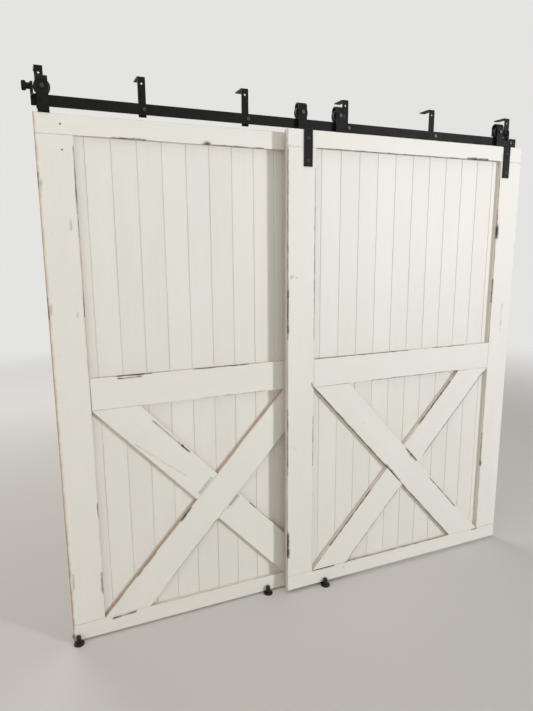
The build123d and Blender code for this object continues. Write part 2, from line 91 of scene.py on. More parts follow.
class Grain(Enum):
    """The way a board's grain runs."""

    UPRIGHT = "upright"
    LEVEL = "level"


class Lean(Enum):
    """The way a brace leans, seen from the front."""

    RISING = "rising"
    FALLING = "falling"


@dataclass(frozen=True)
class Rub:
    """A stretch where the paint is rubbed, in millimetres from the door's lower left corner. Some stretches
    along a board's lower edge are partly painted shade, a dark line for the shadow under that board.

    Args:
        start: one end, as x and height.
        end: the other end.
        width: how far the rubbing reaches on each side.
        depth: 0 for none, 0.4 for a grey smudge, 1 for dark wood laid bare.
    """

    start: tuple[float, float]
    end: tuple[float, float]
    width: float
    depth: float


def rub_rows(*rows: tuple[float, ...]) -> tuple[Rub, ...]:
    """Returns a rub for each row of start, end, width and depth."""
    return tuple(Rub(row[:2], row[2:4], *row[4:]) for row in rows)


class NodeDesk:
    """Adds shader nodes to one tree and wires them."""

    def __init__(self, tree: NodeTree) -> None:
        """Keeps the tree that the nodes go into."""
        self.tree = tree

    def add(self, kind: str, inputs: Mapping | None = None, **settings) -> Node:
        """Adds one node.

        Args:
            kind: the node's type, without its ShaderNode prefix.
            inputs: socket name or number to a value, or to an output socket to wire in.
            settings: properties of the node itself.

        Returns:
            The new node.
        """
        node = self.tree.nodes.new("ShaderNode" + kind)
        for name, value in settings.items():
            setattr(node, name, value)
        for name, value in (inputs or {}).items():
            self.feed(node.inputs[name], value)
        return node

    def feed(self, socket: NodeSocket, value: Value) -> None:
        """Sets a socket's value, or wires an output to it.

        Args:
            socket: the input socket.
            value: its value, or the output.
        """
        if isinstance(value, NodeSocket):
            self.tree.links.new(value, socket)
        else:
            socket.default_value = value

    def sum(self, kind: str, first: Value, second: Value = 0.0, clamp: bool = False) -> NodeSocket:
        """Returns the output of one Math node of the given kind."""
        return self.add("Math", {0: first, 1: second}, operation=kind, use_clamp=clamp).outputs[0]

    def stretch(self, value: Value, low: float, high: float, bottom: float = 0.0, top: float = 1.0,
                kind: str = "LINEAR") -> NodeSocket:
        """Returns a ramp, straight by default, from bottom to top as value goes from low to high."""
        inputs = {"Value": value, "From Min": low, "From Max": high, "To Min": bottom, "To Max": top}
        return self.add("MapRange", inputs, interpolation_type=kind).outputs["Result"]

    def band(self, value: Value, *ends: float) -> NodeSocket:
        """Returns the same as stretch with a smooth ramp."""
        return self.stretch(value, *ends, kind="SMOOTHSTEP")

    def noise(self, vector: Value, scale: float, detail: float = 3.0, roughness: float = 0.5) -> NodeSocket:
        """Returns a noise value between 0 and 1."""
        inputs = {"Vector": vector, "Scale": scale, "Detail": detail, "Roughness": roughness}
        return self.add("TexNoise", inputs).outputs["Fac"]

    def grained(self, grain: Value, along: float, across: float, detail: float = 3.0,
                roughness: float = 0.5) -> NodeSocket:
        """Returns noise between 0 and 1, with one scale along the grain, its first axis, and one across."""
        place = self.add("Mapping", {"Vector": grain, "Scale": (along, across, across)}).outputs["Vector"]
        return self.noise(place, 1.0, detail, roughness)

    def blend(self, factor: Value, first: Value, second: Value) -> NodeSocket:
        """Returns a colour between two."""
        return self.add("Mix", {0: factor, 6: first, 7: second}, data_type="RGBA").outputs[2]


class EffectGroup(NodeDesk):
    """A shader node group, built once, that materials place among their own nodes."""

    def __init__(self, name: str, inputs: Mapping[str, str], outputs: Sequence[str]) -> None:
        """Makes the group and its sockets.

        Args:
            name: the group's name.
            inputs: socket name to kind, Float or Vector.
            outputs: the names of the numbers that it puts out.
        """
        super().__init__(bpy.data.node_groups.new(name, "ShaderNodeTree"))
        for label, kind in inputs.items():
            self.tree.interface.new_socket(label, in_out="INPUT", socket_type="NodeSocket" + kind)
        for label in outputs:
            self.tree.interface.new_socket(label, in_out="OUTPUT", socket_type="NodeSocketFloat")
        self.source = self.tree.nodes.new("NodeGroupInput").outputs
        self.sink = self.tree.nodes.new("NodeGroupOutput").inputs

    def put_out(self, name: str, value: Value) -> None:
        """Wires a value to one of the group's outputs."""
        self.feed(self.sink[name], value)

    def place(self, desk: NodeDesk, **inputs: Value) -> bpy.types.bpy_prop_collection:
        """Places the group in a material, feeds its inputs and returns its outputs."""
        return desk.add("Group", inputs, node_tree=self.tree).outputs


class Effects:
    """The effects that more than one finish uses."""

    def __init__(self) -> None:
        """Builds the groups."""
        self.brushed_paint = self._brushed_paint()
        self.rubbed_through = self._rubbed_through()
        self.bare_timber = self._bare_timber()
        self.powder_coat = self._powder_coat()

    @staticmethod
    def _brushed_paint() -> EffectGroup:
        """Makes brush strokes along the grain with soft patches, as a tone about 0 and a height.

        Returns:
            The group.
        """
        group = EffectGroup("brushed paint", {"Grain": "Vector"}, ("Tone", "Height"))
        grain = group.source["Grain"]
        strokes = group.grained(grain, 2.5, 260, 4.0, 0.6)
        fibres = group.grained(grain, 9, 900, 2.0)
        patches = group.grained(grain, 2.2, 7, 4.0, 0.62)
        tone = group.sum("MULTIPLY", group.stretch(patches, *NOISE_SPAN, -1, 1), 0.6)
        group.put_out("Tone", group.sum("ADD", tone, group.stretch(strokes, *NOISE_SPAN, -0.4, 0.4)))
        height = group.sum("ADD", group.sum("MULTIPLY", strokes, 0.7), group.sum("MULTIPLY", fibres, 0.3))
        group.put_out("Height", height)
        return group

    @staticmethod
    def _rubbed_through() -> EffectGroup:
        """Works out how far paint is rubbed, as a thin grey film and as laid-bare dark wood. The same film
        and dark wood also draw the painted shade lines that some rubs stand for.

        Returns:
            The group.
        """
        sockets = {"Grain": "Vector", "Rub": "Float", "Arris": "Float", "Wear": "Float"}
        group = EffectGroup("rubbed through", sockets, ("Film", "Bare"))
        grain = group.source["Grain"]
        ragged = group.stretch(group.grained(grain, 16, 190, 4.0, 0.6), *NOISE_SPAN, -0.16, 0.16)
        along = group.stretch(group.grained(grain, 5, 14, 3.0, 0.6), *STEEP_SPAN)
        arris = group.sum("MULTIPLY", group.source["Arris"], group.source["Wear"])
        arris = group.sum("MULTIPLY", arris, group.sum("ADD", along, 0.35))
        total = group.sum("MAXIMUM", group.source["Rub"], arris)
        edge = group.sum("ADD", total, group.sum("MULTIPLY", ragged, group.band(total, 0.02, 0.3)))
        group.put_out("Film", group.band(edge, 0.06, 0.55))
        group.put_out("Bare", group.band(edge, 0.42, 0.9))
        return group

    @staticmethod
    def _bare_timber() -> EffectGroup:
        """Makes the growth lines of sawn softwood, as a tone from 0 to 1.

        Returns:
            The group.
        """
        group = EffectGroup("bare timber", {"Grain": "Vector"}, ("Tone",))
        grain = group.source["Grain"]
        wide = group.grained(grain, 2.0, 60, 3.0, 0.55)
        fine = group.grained(grain, 16, 420, 3.0, 0.6)
        mixed = group.sum("ADD", group.sum("MULTIPLY", wide, 0.6), group.sum("MULTIPLY", fine, 0.4))
        group.put_out("Tone", group.stretch(mixed, 0.32, 0.68))
        return group

    @staticmethod
    def _powder_coat() -> EffectGroup:
        """Makes the fine peel of a baked coat, as a height, and a thin dust, as a mask.

        Returns:
            The group.
        """
        group = EffectGroup("powder coat", {"Place": "Vector"}, ("Height", "Dust"))
        place = group.source["Place"]
        group.put_out("Height", group.noise(place, 1400.0, 2.0))
        group.put_out("Dust", group.band(group.noise(place, 24.0, 5.0, 0.65), 0.42, 0.75))
        return group


class MaterialDesk(NodeDesk):
    """A new material's desk, with a Principled shader."""

    def __init__(self, name: str) -> None:
        """Makes the material, its shader and its output.

        Args:
            name: the material's name.
        """
        self.material = bpy.data.materials.new(name)
        self.material.use_nodes = True
        self.material.node_tree.nodes.clear()
        super().__init__(self.material.node_tree)
        self.shader = self.add("BsdfPrincipled")
        self.surface = self.add("OutputMaterial").inputs["Surface"]
        self.feed(self.surface, self.shader.outputs["BSDF"])

    def coat(self, colour: Value, rough: Value, specular: float, height: Value, strength: float,
             relief: float) -> Material:
        """Wires a finish to the shader.

        Args:
            colour: its colour.
            rough: its roughness.
            specular: its specular level.
            height: its fine relief, as a height.
            strength: the bump's strength.
            relief: the relief's depth in metres.

        Returns:
            The material.
        """
        bump = self.add("Bump", {"Strength": strength, "Distance": relief, "Height": height})
        inputs = {"Base Color": colour, "Roughness": rough, "Specular IOR Level": specular,
                  "Normal": bump.outputs["Normal"]}
        for name, value in inputs.items():
            self.feed(self.shader.inputs[name], value)
        return self.material


@dataclass(frozen=True)
class SatinPaint:
    """What the doors' two white satin paints have in common.

    Args:
        name: the material's name.
        effects: the shared effects.
    """

    name: str
    effects: Effects

    # Its specular level, how soiled it is at its darkest and at its lightest brush tone, how much that
    # shows at most, and the strength and depth of its brush marks
    specular: ClassVar[float] = 0.4
    soiling: ClassVar[tuple[float, float]] = (0.5, -0.1)
    dullest: ClassVar[float] = 0.16
    bump: ClassVar[float] = 0.25
    relief: ClassVar[float] = 0.4 * MM

    @staticmethod
    def toned(desk: NodeDesk, paint: Mapping, darkest: float, lightest: float) -> NodeSocket:
        """Returns a ramp between what goes with the paint's darkest and with its lightest brush tone."""
        return desk.stretch(paint["Tone"], -1, 1, darkest, lightest)

    def soiled(self, desk: NodeDesk, tone: Value, paint: Colour, soil: Colour) -> NodeSocket:
        """Returns the paint's colour, taken a little towards the soil's as the tone goes from 0 to 1."""
        return desk.blend(desk.sum("MULTIPLY", tone, self.dullest, clamp=True), paint, soil)


@dataclass(frozen=True)
class TimberPaint(SatinPaint):
    """The paint on a frame board, which reads the board's own marks and grain map.

    Args:
        paint: the clean paint.
        film: paint rubbed thin and grey.
        tan: paint rubbed thin along an arris.
        dark: old wood laid bare.
        bare: pale bare wood.
        bare_dark: its dark growth lines.
        edge_wear: how worn the arrises are, from 0 to 1.
        film_share: how much the film shows at most.
        pit: how deep bare wood lies, in parts of the relief.
        patchiness: how much more or less of bare wood shows at the darkest and the lightest brush tone.
        roughness: the paint's roughness at those tones.
        film_roughness: how much rougher the film is.
    """

    paint: Colour = (0.74, 0.72, 0.675, 1)
    film: Colour = (0.25, 0.215, 0.18, 1)
    tan: Colour = (0.33, 0.215, 0.13, 1)
    dark: Colour = (0.05, 0.034, 0.023, 1)
    bare: Colour = (0.60, 0.42, 0.27, 1)
    bare_dark: Colour = (0.33, 0.215, 0.13, 1)
    edge_wear: float = 0.48
    film_share: float = 0.72
    pit: float = 1.5
    patchiness: tuple[float, float] = (0.7, 1.3)
    roughness: tuple[float, float] = (0.44, 0.58)
    film_roughness: float = 0.25

    def material(self) -> Material:
        """Lays the paint over the wood, as thin as the board's marks say.

        Returns:
            The board's material.
        """
        desk = MaterialDesk(self.name)
        grain = desk.add("UVMap", uv_map="grain").outputs["UV"]
        marks = {mark: desk.add("Attribute", attribute_name=mark).outputs["Fac"] for mark in MARKS}
        paint = self.effects.brushed_paint.place(desk, Grain=grain)
        worn = self.effects.rubbed_through.place(
            desk, Grain=grain, Rub=marks["rub"], Arris=marks["arris"], Wear=self.edge_wear)
        timber = self.effects.bare_timber.place(desk, Grain=grain)
        shade = self.toned(desk, paint, *self.soiling)
        coat = self.soiled(desk, shade, self.paint, self.film)
        wood = desk.blend(timber["Tone"], self.bare_dark, self.bare)
        patches = self.toned(desk, paint, *self.patchiness)
        colour = desk.blend(desk.sum("MULTIPLY", marks["side"], patches, clamp=True), coat, wood)
        film = desk.blend(marks["arris"], self.film, self.tan)
        colour = desk.blend(desk.sum("MULTIPLY", worn["Film"], self.film_share), colour, film)
        colour = desk.blend(worn["Bare"], colour, self.dark)
        rough = self.toned(desk, paint, *self.roughness)
        rough = desk.sum("ADD", rough, desk.sum("MULTIPLY", worn["Film"], self.film_roughness))
        height = desk.sum("SUBTRACT", paint["Height"], desk.sum("MULTIPLY", worn["Bare"], self.pit))
        return desk.coat(colour, rough, self.specular, height, self.bump, self.relief)


@dataclass(frozen=True)
class BoardPaint(SatinPaint):
    """The paint on the upright boards, duller in their V joints.

    Args:
        first_joint: the first joint's place along X, in metres.
        left: the door's left edge along X.
        right: its right edge.
        joint_wear: how dull the paint gets in the joints, from 0 to 1.
        paint: the clean paint.
        shade: the colour that soiled paint goes towards.
        joint: the colour that the joints go towards.
        bare: the bare wood of the door's two sides.
        joint_reach: how far from a joint's middle its dullness starts to fade, and where it ends.
        side_band: how far the bare sides reach along X.
        side_bareness: how bare the sides are on dark growth lines and on pale wood.
        board_soiling: how much the cleanest and the most soiled board differ from the usual.
        roughness: the paint's roughness at its darkest and its lightest brush tone.
    """

    first_joint: float
    left: float
    right: float
    joint_wear: float
    paint: Colour = (0.73, 0.71, 0.665, 1)
    shade: Colour = (0.27, 0.25, 0.215, 1)
    joint: Colour = (0.40, 0.355, 0.29, 1)
    bare: Colour = (0.40, 0.285, 0.18, 1)
    joint_reach: tuple[float, float] = (1.0 * MM, 5.5 * MM)
    side_band: float = 0.6 * MM
    side_bareness: tuple[float, float] = (0.3, 0.9)
    board_soiling: tuple[float, float] = (-0.12, 0.2)
    roughness: tuple[float, float] = (0.42, 0.56)

    def material(self) -> Material:
        """Tints each board by its number and dulls the paint near the joints.

        Returns:
            The boards' material.
        """
        desk = MaterialDesk(self.name)
        place = desk.add("TexCoord").outputs["Object"]
        axes = desk.add("SeparateXYZ", {"Vector": place}).outputs
        grain = desk.add("CombineXYZ", {"X": axes["Z"], "Y": axes["X"], "Z": axes["Y"]}).outputs["Vector"]
        count = desk.sum("DIVIDE", desk.sum("SUBTRACT", axes["X"], self.first_joint), BOARD_PITCH)
        board = desk.sum("FLOOR", count)
        tint = desk.add("TexWhiteNoise", {"W": board}, noise_dimensions="1D").outputs["Value"]
        part = desk.sum("FRACT", count)
        reach = desk.sum("MULTIPLY", desk.sum("PINGPONG", part, 0.5), BOARD_PITCH)
        joint = desk.band(reach, *self.joint_reach, 1.0, 0.0)
        paint = self.effects.brushed_paint.place(desk, Grain=grain)
        tone = self.toned(desk, paint, *self.soiling)
        tone = desk.sum("ADD", tone, desk.stretch(tint, 0, 1, *self.board_soiling))
        coat = self.soiled(desk, tone, self.paint, self.shade)
        worn = desk.stretch(desk.grained(grain, 3, 30, 4.0), *STEEP_SPAN, 0.0, self.joint_wear)
        colour = desk.blend(desk.sum("MULTIPLY", joint, worn), coat, self.joint)
        near_left = desk.band(axes["X"], self.left, self.left + self.side_band, 1.0, 0.0)
        near_right = desk.band(axes["X"], self.right - self.side_band, self.right)
        timber = self.effects.bare_timber.place(desk, Grain=grain)
        side = desk.sum("MULTIPLY", desk.sum("ADD", near_left, near_right, clamp=True),
                        desk.stretch(timber["Tone"], 0, 1, *self.side_bareness))
        colour = desk.blend(side, colour, self.bare)
        rough = self.toned(desk, paint, *self.roughness)
        return desk.coat(colour, rough, self.specular, paint["Height"], self.bump, self.relief)


@dataclass(frozen=True)
class HardwareFinish:
    """A matt coat, a moulded surface or ground steel, with a fine peel and a thin dust.

    Args:
        name: the material's name.
        effects: the shared effects.
        colour: its colour.
        dust: the dust's colour.
        roughness: its roughness where clean.
        metallic: 0 for a coat, 1 for bare metal.
        specular: its specular level.
        peel: the bump's strength.
        relief: the peel's depth in metres.
        dusty_share: how much the dust shows at most, and how much rougher it is.
    """

    name: str
    effects: Effects
    colour: Colour = (0.006, 0.006, 0.0055, 1)
    dust: Colour = (0.035, 0.033, 0.028, 1)
    roughness: float = 0.5
    metallic: float = 0.0
    specular: float = 0.1
    peel: float = 0.2
    relief: float = 0.2 * MM
    dusty_share: float = 0.15

    def material(self) -> Material:
        """Lays the dust over the coat.

        Returns:
            The finish's material.
        """
        desk = MaterialDesk(self.name)
        place = desk.add("TexCoord").outputs["Object"]
        coat = self.effects.powder_coat.place(desk, Place=place)
        colour = desk.blend(desk.sum("MULTIPLY", coat["Dust"], self.dusty_share), self.colour, self.dust)
        rough = desk.stretch(coat["Dust"], 0, 1, self.roughness, self.roughness + self.dusty_share)
        desk.shader.inputs["Metallic"].default_value = self.metallic
        return desk.coat(colour, rough, self.specular, coat["Height"], self.peel, self.relief)


@dataclass(frozen=True)
class Sway:
    """Smooth seeded noise on a line: sines, each finer and smaller than the last, of random phase.

    Args:
        size: how far it goes to each side of 0, about.
        longest: the longest wavelength, in metres.
        octaves: how many sines.
    """

    size: float
    longest: float
    octaves: int = 6

    # Each sine's rate and size in parts of the last one's, the draws about that rate, and the sum's gain
    finer: ClassVar[float] = 1.83
    smaller: ClassVar[float] = 0.72
    about: ClassVar[tuple[float, float]] = (0.9, 1.1)
    gain: ClassVar[float] = 1.6

    def at(self, seed: int, place: np.ndarray) -> np.ndarray:
        """Adds up the sines, drawn for a seed, at each place.

        Args:
            seed: the seed of the draws.
            place: places along the line, in metres.

        Returns:
            The noise at each place.
        """
        draw = np.random.default_rng(seed)
        steps = np.arange(self.octaves)
        rates = 2 * np.pi / self.longest * self.finer ** steps * draw.uniform(*self.about, self.octaves)
        sizes = self.smaller ** steps
        phases = draw.uniform(0, 2 * np.pi, self.octaves)
        waves = np.sin(place[..., None] * rates + phases) * sizes
        return self.size * (waves.sum(-1) / sizes.sum() * self.gain)


def spread(length: float, spacing: float) -> np.ndarray:
    """Places along a board's side, close together at both ends.

    Args:
        length: the side's length in metres.
        spacing: the distance between places away from the ends.

    Returns:
        The places as shares of the length.
    """
    near = np.array([0.0, 0.25, 0.6, 1.1, 1.8, 2.7, 4.0, 6.5]) * MM
    count = max(2, round((length - 2 * near[-1]) / spacing) + 1)
    middle = np.linspace(near[-1], length - near[-1], count)
    return np.concatenate([near[:-1], middle, (length - near[:-1])[::-1]]) / length


def crossing(first: np.ndarray, second: np.ndarray) -> np.ndarray:
    """Finds where two lines cross.

    Args:
        first: two points of one line.
        second: two points of the other.

    Returns:
        The point that lies on both.
    """
    one, two = first[1] - first[0], second[1] - second[0]
    share = np.linalg.solve(np.stack([one, -two], axis=1), second[0] - first[0])[0]
    return first[0] + share * one


def add_object(name: str, data: ID) -> Object:
    """Makes an object and links it to the scene.

    Args:
        name: its name.
        data: its mesh, lamp or camera.

    Returns:
        The object.
    """
    made = bpy.data.objects.new(name, data)
    bpy.context.scene.collection.objects.link(made)
    return made


def set_mark(mesh: Mesh, name: str, values: np.ndarray) -> None:
    """Writes one number for each vertex of a mesh."""
    mesh.attributes.new(name, "FLOAT", "POINT").data.foreach_set("value", values.astype(np.float32))


def dress(nodes: Sequence[str], material: Material) -> None:
    """Gives CAD nodes a material in all their slots.

    Args:
        nodes: the nodes' names.
        material: their material.
    """
    for node in nodes:
        data = frame["nodes"][node].data
        data.materials.clear()
        data.materials.append(material)


@dataclass
class FrameBoard:
    """One board of a door's frame, as a surface with worn, uneven arrises.

    Args:
        node: the CAD node that it stands for.
        corners: its corners in metres, from the lower left, against the clock from the front.
        front: the front face's place along Y.
        thickness: its thickness.
        grain: the way its grain runs along the outline.
        rubs: its rubbed stretches, some of them partly painted shade along a lower edge.
        bared: its stretches of pale bare wood.
        bareness: how bare its sides are, from 0 for painted to 1 for wood; on the falling braces this brown
            partly stands for painted shade.
        origin: the door's lower left corner, as X and Z.
        seed: the seed of its unevenness.
        arris: its arrises' usual radius.
        arris_sway: how that radius sways.
        rubbed_arris: how much rubbing adds to it.
        arris_mark: how far an arris's mark reaches.
        flatness: how far its face sways at all.
        face_sway: how it sways, in parts of that.
        slant: how fast it sways along X, in parts of how fast along Z.
        calm: the margin where it sways less.
        width_sway: how a rub's width sways, as a share.
        depth_sway: how its depth sways, as a share.
        least_width: the narrowest that a rub gets.
        fading: how steeply a rub fades across.
        end_share: how strong it is at its ends.
        taper: how many widths it takes to gain its depth.
        rub_down: how strong a rub is at a side's front, and what it loses over the thickness.
        arris_down: the same for an arris's mark.
        wood_down: how much bare wood a side gains over the thickness.
        grain_shift: how far each seed's grain is from the last one's.
        along_step: the vertices' spacing along the grain.
        across_step: their spacing across it.
        side_rows: the rows of faces down its sides.
        hole_sides: the sides of a hole.
    """

    node: str
    corners: np.ndarray
    front: float
    thickness: float
    grain: Grain
    rubs: Sequence[Rub]
    bared: Sequence[Rub]
    bareness: float
    origin: tuple[float, float]
    seed: int
    arris: float = 1.5 * MM
    arris_sway: Sway = Sway(0.5 * MM, 0.35)
    rubbed_arris: float = 1.6 * MM
    arris_mark: float = 1.3 * MM
    flatness: float = 0.12 * MM
    face_sway: Sway = Sway(1.0, 0.7, 4)
    slant: float = 0.7
    calm: float = 8 * MM
    width_sway: Sway = Sway(0.3, 0.14)
    depth_sway: Sway = Sway(0.16, 0.08)
    least_width: float = 0.3 * MM
    fading: float = 1.2
    end_share: float = 0.75
    taper: float = 6
    rub_down: tuple[float, float] = (1.1, 1.6)
    arris_down: tuple[float, float] = (1.0, 3.0)
    wood_down: float = 2.2
    grain_shift: float = 1.37
    along_step: float = 5 * MM
    across_step: float = 4.5 * MM
    side_rows: int = 4
    hole_sides: int = 24

    def rubbing(self, points: np.ndarray, rubs: Sequence[Rub]) -> np.ndarray:
        """Works out how rubbed each point is: each rub's depth times a bell over the distance to it.

        Args:
            points: places in the door's plane, as X and Z in metres.
            rubs: the stretches.

        Returns:
            The rubbing at each point.
        """
        total = np.zeros(points.shape[:-1])
        for number, rub in enumerate(rubs):
            start = np.array(rub.start) * MM + self.origin
            along = np.array(rub.end) * MM + self.origin - start
            span = max(np.hypot(*along), MM)
            share = ((points - start) @ along) / span ** 2
            nearest = start + np.clip(share, 0, 1)[..., None] * along
            gap = np.linalg.norm(points - nearest, axis=-1)
            run = share * span
            width = rub.width * MM * (1 + self.width_sway.at(self.seed * WIDTH_DRAWS + number, run))
            depth = rub.depth * (1 + self.depth_sway.at(self.seed * DEPTH_DRAWS + number, run))
            inside = (0.5 - np.abs(share - 0.5)) * span
            ends = np.clip(self.end_share + inside / (self.taper * rub.width * MM), 0, 1)
            bell = np.exp(-(gap / np.maximum(width, self.least_width)) ** 2 * self.fading)
            total = np.maximum(total, depth * bell * ends)
        return total

    def edge_gaps(self, points: np.ndarray) -> np.ndarray:
        """Works out how far each point lies inside the outline's four sides.

        Args:
            points: places in the door's plane, as X and Z in metres.

        Returns:
            The distances, with the sides as the last axis.
        """
        starts = self.corners
        ways = np.roll(self.corners, -1, axis=0) - starts
        ways = ways / np.linalg.norm(ways, axis=1)[:, None]
        inwards = np.stack([-ways[:, 1], ways[:, 0]], axis=1)
        return np.einsum("...kj,kj->...k", points[..., None, :] - starts, inwards)

    def drop(self, points: np.ndarray, rubbed: np.ndarray) -> np.ndarray:
        """Works out how far the face falls back: at each side a quarter round of uneven radius.

        Args:
            points: places on the face.
            rubbed: how rubbed each is.

        Returns:
            The fall at each point, in metres.
        """
        gaps = np.maximum(self.edge_gaps(points), 0)
        run = points.sum(-1)
        fall = np.zeros(points.shape[:-1])
        for side in range(4):
            sway = self.arris_sway.at(self.seed * ARRIS_DRAWS + side, run)
            radius = self.arris + sway + self.rubbed_arris * np.clip(rubbed, 0, 1)
            inside = np.clip(1 - gaps[..., side] / radius, 0, 1)
            fall += radius * (1 - np.sqrt(1 - inside ** 2))
        waves = self.face_sway.at(self.seed, points[..., 0] * self.slant + points[..., 1])
        calm = np.clip(gaps.min(-1) / self.calm, 0, 1)
        return fall + self.flatness * (1 + waves) * calm

    def grain_way(self) -> np.ndarray:
        """Finds the way of the grain in the door's plane.

        Returns:
            A unit vector.
        """
        along = self.corners[3] - self.corners[0]
        if self.grain is Grain.LEVEL:
            along = self.corners[1] - self.corners[0]
        return along / np.linalg.norm(along)

    def build(self) -> Object:
        """Makes the board: a bilinear face between its corners, walls behind its rim and a plain back.

        Returns:
            The board's object.
        """
        lower_left, lower_right, upper_right, upper_left = self.corners
        width = np.linalg.norm(lower_right - lower_left)
        height = np.linalg.norm(upper_left - lower_left)
        upright = self.grain is Grain.UPRIGHT
        rows = spread(height, self.along_step if upright else self.across_step)
        columns = spread(width, self.across_step if upright else self.along_step)
        up, right = (share[..., None] for share in np.meshgrid(rows, columns, indexing="ij"))
        face = ((1 - up) * ((1 - right) * lower_left + right * lower_right)
                + up * ((1 - right) * upper_left + right * upper_right))
        rubbed = self.rubbing(face, self.rubs)
        bared = self.rubbing(face, self.bared).ravel()
        fall = self.drop(face, rubbed)
        tall, wide = fall.shape
        index = np.arange(tall * wide).reshape(tall, wide)
        rim = np.concatenate([index[0, :-1], index[:-1, -1], index[-1, :0:-1], index[:0:-1, 0]])
        plane = face.reshape(-1, 2)
        depth = fall.ravel()
        rim_depth = depth[rim]
        shares = np.linspace(0, 1, self.side_rows + 1)[1:, None]
        wall_depth = rim_depth + shares * (self.thickness - rim_depth)
        wall_plane = np.broadcast_to(plane[rim], (self.side_rows, len(rim), 2))
        all_plane = np.concatenate([plane, wall_plane.reshape(-1, 2)])
        all_depth = np.concatenate([depth, wall_depth.ravel()])
        places = np.stack([all_plane[:, 0], self.front + all_depth, all_plane[:, 1]], axis=1)
        walls = tall * wide + np.arange(self.side_rows * len(rim)).reshape(self.side_rows, -1)
        rings = np.concatenate([rim[None], walls])
        faces = self._quads(index, rings)
        marks = self._marks(rubbed.ravel(), bared, plane, rim, shares.ravel())
        return self._object(places, faces, marks, all_plane, all_depth, rings[-1])

    def _marks(self, rubbed: np.ndarray, bared: np.ndarray, plane: np.ndarray, rim: np.ndarray,
               shares: np.ndarray) -> dict[str, np.ndarray]:
        """Works out the marks of the face's vertices and then those of the walls, row by row.

        Args:
            rubbed: how rubbed each vertex of the face is.
            bared: how bare each is.
            plane: the place of each in the door's plane.
            rim: the numbers of those on the rim.
            shares: how far down the walls each row is, as a share of the thickness.

        Returns:
            Mark name to values.
        """
        gaps = np.maximum(self.edge_gaps(plane).min(-1), 0)
        rubbed_rim, bared_rim = (np.tile(values[rim], len(shares)) for values in (rubbed, bared))
        rub, arris, wood = (
            np.repeat(np.clip(start - loss * shares, 0, 1), len(rim))
            for start, loss in (self.rub_down, self.arris_down, (0.0, -self.wood_down)))
        return {
            "rub": np.concatenate([rubbed, rubbed_rim * rub]),
            "arris": np.concatenate([np.exp(-(gaps / self.arris_mark) ** 2), arris]),
            "side": np.concatenate([bared, np.maximum(self.bareness * wood, bared_rim)]),
        }

    @staticmethod
    def _quads(index: np.ndarray, rings: np.ndarray) -> list:
        """Works out the faces of the front, the walls and the back.

        Args:
            index: the numbers of the front's vertices, by row and column.
            rings: the rim's numbers, then those of each row of the walls.

        Returns:
            The faces. The back is a ladder between its left and right side, with a cap at each end.
        """
        tall, wide = index.shape
        front = np.stack([index[:-1, :-1], index[:-1, 1:], index[1:, 1:], index[1:, :-1]], axis=-1)
        following = np.roll(rings, -1, axis=1)
        walls = np.stack([rings[:-1], rings[1:], following[1:], following[:-1]], axis=-1)
        back = rings[-1]
        lower = back[:wide]
        right = back[wide - 1:wide + tall - 1]
        upper = back[wide + tall - 2:2 * wide + tall - 2]
        left = np.concatenate([back[:1], back[2 * wide + tall - 3:][::-1]])
        ladder = np.stack([left[1:-2], left[2:-1], right[2:-1], right[1:-2]], axis=-1)
        caps = [[*lower[::-1], left[1], right[1]], [*upper[::-1], right[-2], left[-2]]]
        return front.reshape(-1, 4).tolist() + walls.reshape(-1, 4).tolist() + ladder.tolist() + caps

    def _object(self, places: np.ndarray, faces: list, marks: Mapping[str, np.ndarray],
                plane: np.ndarray, depth: np.ndarray, back: np.ndarray) -> Object:
        """Puts the arrays into a mesh with its marks and its grain map.

        Args:
            places: the vertices.
            faces: the faces.
            marks: attribute name to values.
            plane: each vertex in the door's plane.
            depth: each vertex's depth behind the front.
            back: the vertices of the back's rim.

        Returns:
            The board's object.
        """
        mesh = bpy.data.meshes.new(self.node + "_timber")
        mesh.from_pydata(places, [], faces)
        for name, values in marks.items():
            set_mark(mesh, name, values)
        way = self.grain_way()
        across = np.array([-way[1], way[0]])
        shift = self.seed * self.grain_shift
        flat = np.stack([plane @ way + shift, plane @ across + depth + shift], axis=1)
        corner = np.zeros(len(mesh.loops), np.int32)
        mesh.loops.foreach_get("vertex_index", corner)
        layer = mesh.uv_layers.new(name="grain")
        layer.data.foreach_set("uv", flat[corner].astype(np.float32).ravel())
        mesh.shade_smooth()
        ends = np.zeros(len(mesh.edges) * 2, np.int32)
        mesh.edges.foreach_get("vertices", ends)
        behind = np.isin(ends.reshape(-1, 2), back).all(1)
        mesh.attributes.new("sharp_edge", "BOOLEAN", "EDGE").data.foreach_set("value", behind)
        mesh.validate()
        return add_object(self.node + "_timber", mesh)

